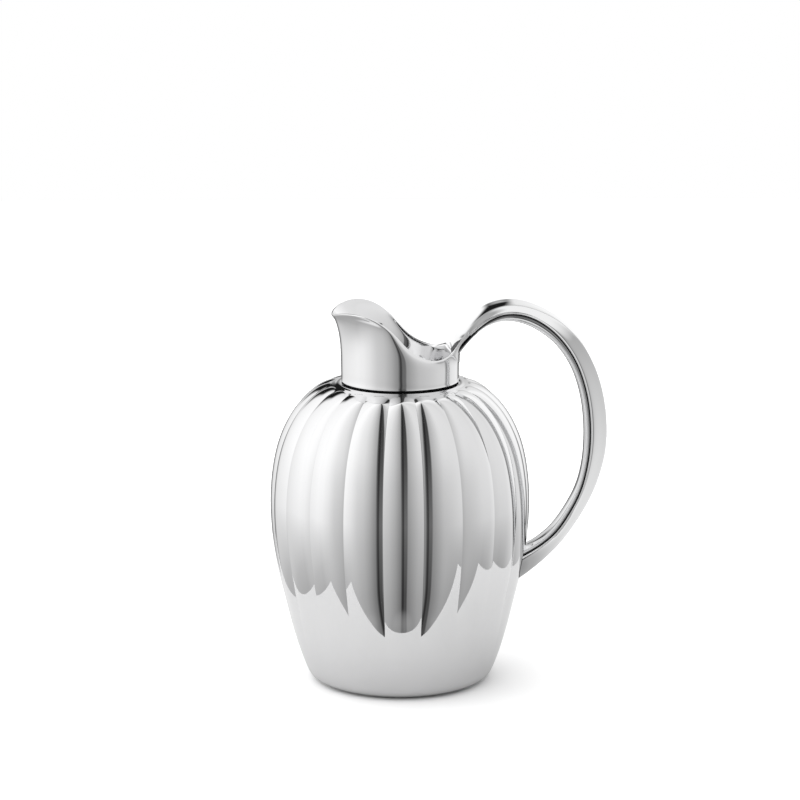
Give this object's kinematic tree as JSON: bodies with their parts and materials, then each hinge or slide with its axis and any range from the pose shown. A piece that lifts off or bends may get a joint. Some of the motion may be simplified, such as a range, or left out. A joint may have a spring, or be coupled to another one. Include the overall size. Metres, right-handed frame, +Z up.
{
  "type": "fluted water pitcher",
  "caption": "Open water pitcher with a lobed ovoid body, plain neck, swept-up pouring lip and tall hollow loop handle, standing on a flat base.",
  "frame": {"origin": "centre of the flat base, on the table", "axes": "+Z up along the body's axis, +X towards the handle, -X towards the pouring lip"},
  "size_m": [0.1915, 0.1484, 0.2188],
  "materials": {
    "body_metal": "mirror-polished silver-coloured metal",
    "base_metal": "fine satin, unpolished underside",
    "neck_metal": "mirror-polished silver-coloured metal",
    "handle_outer_metal": "mirror-polished silver-coloured metal",
    "handle_inner_metal": "mirror-polished silver-coloured metal"
  },
  "bodies": {
    "root": {"body_shell": "body_metal", "base_plate": "base_metal", "neck_spout": "neck_metal", "handle_outer_shell": "handle_outer_metal", "handle_inner_shell": "handle_inner_metal"}
  },
  "joints": []
}
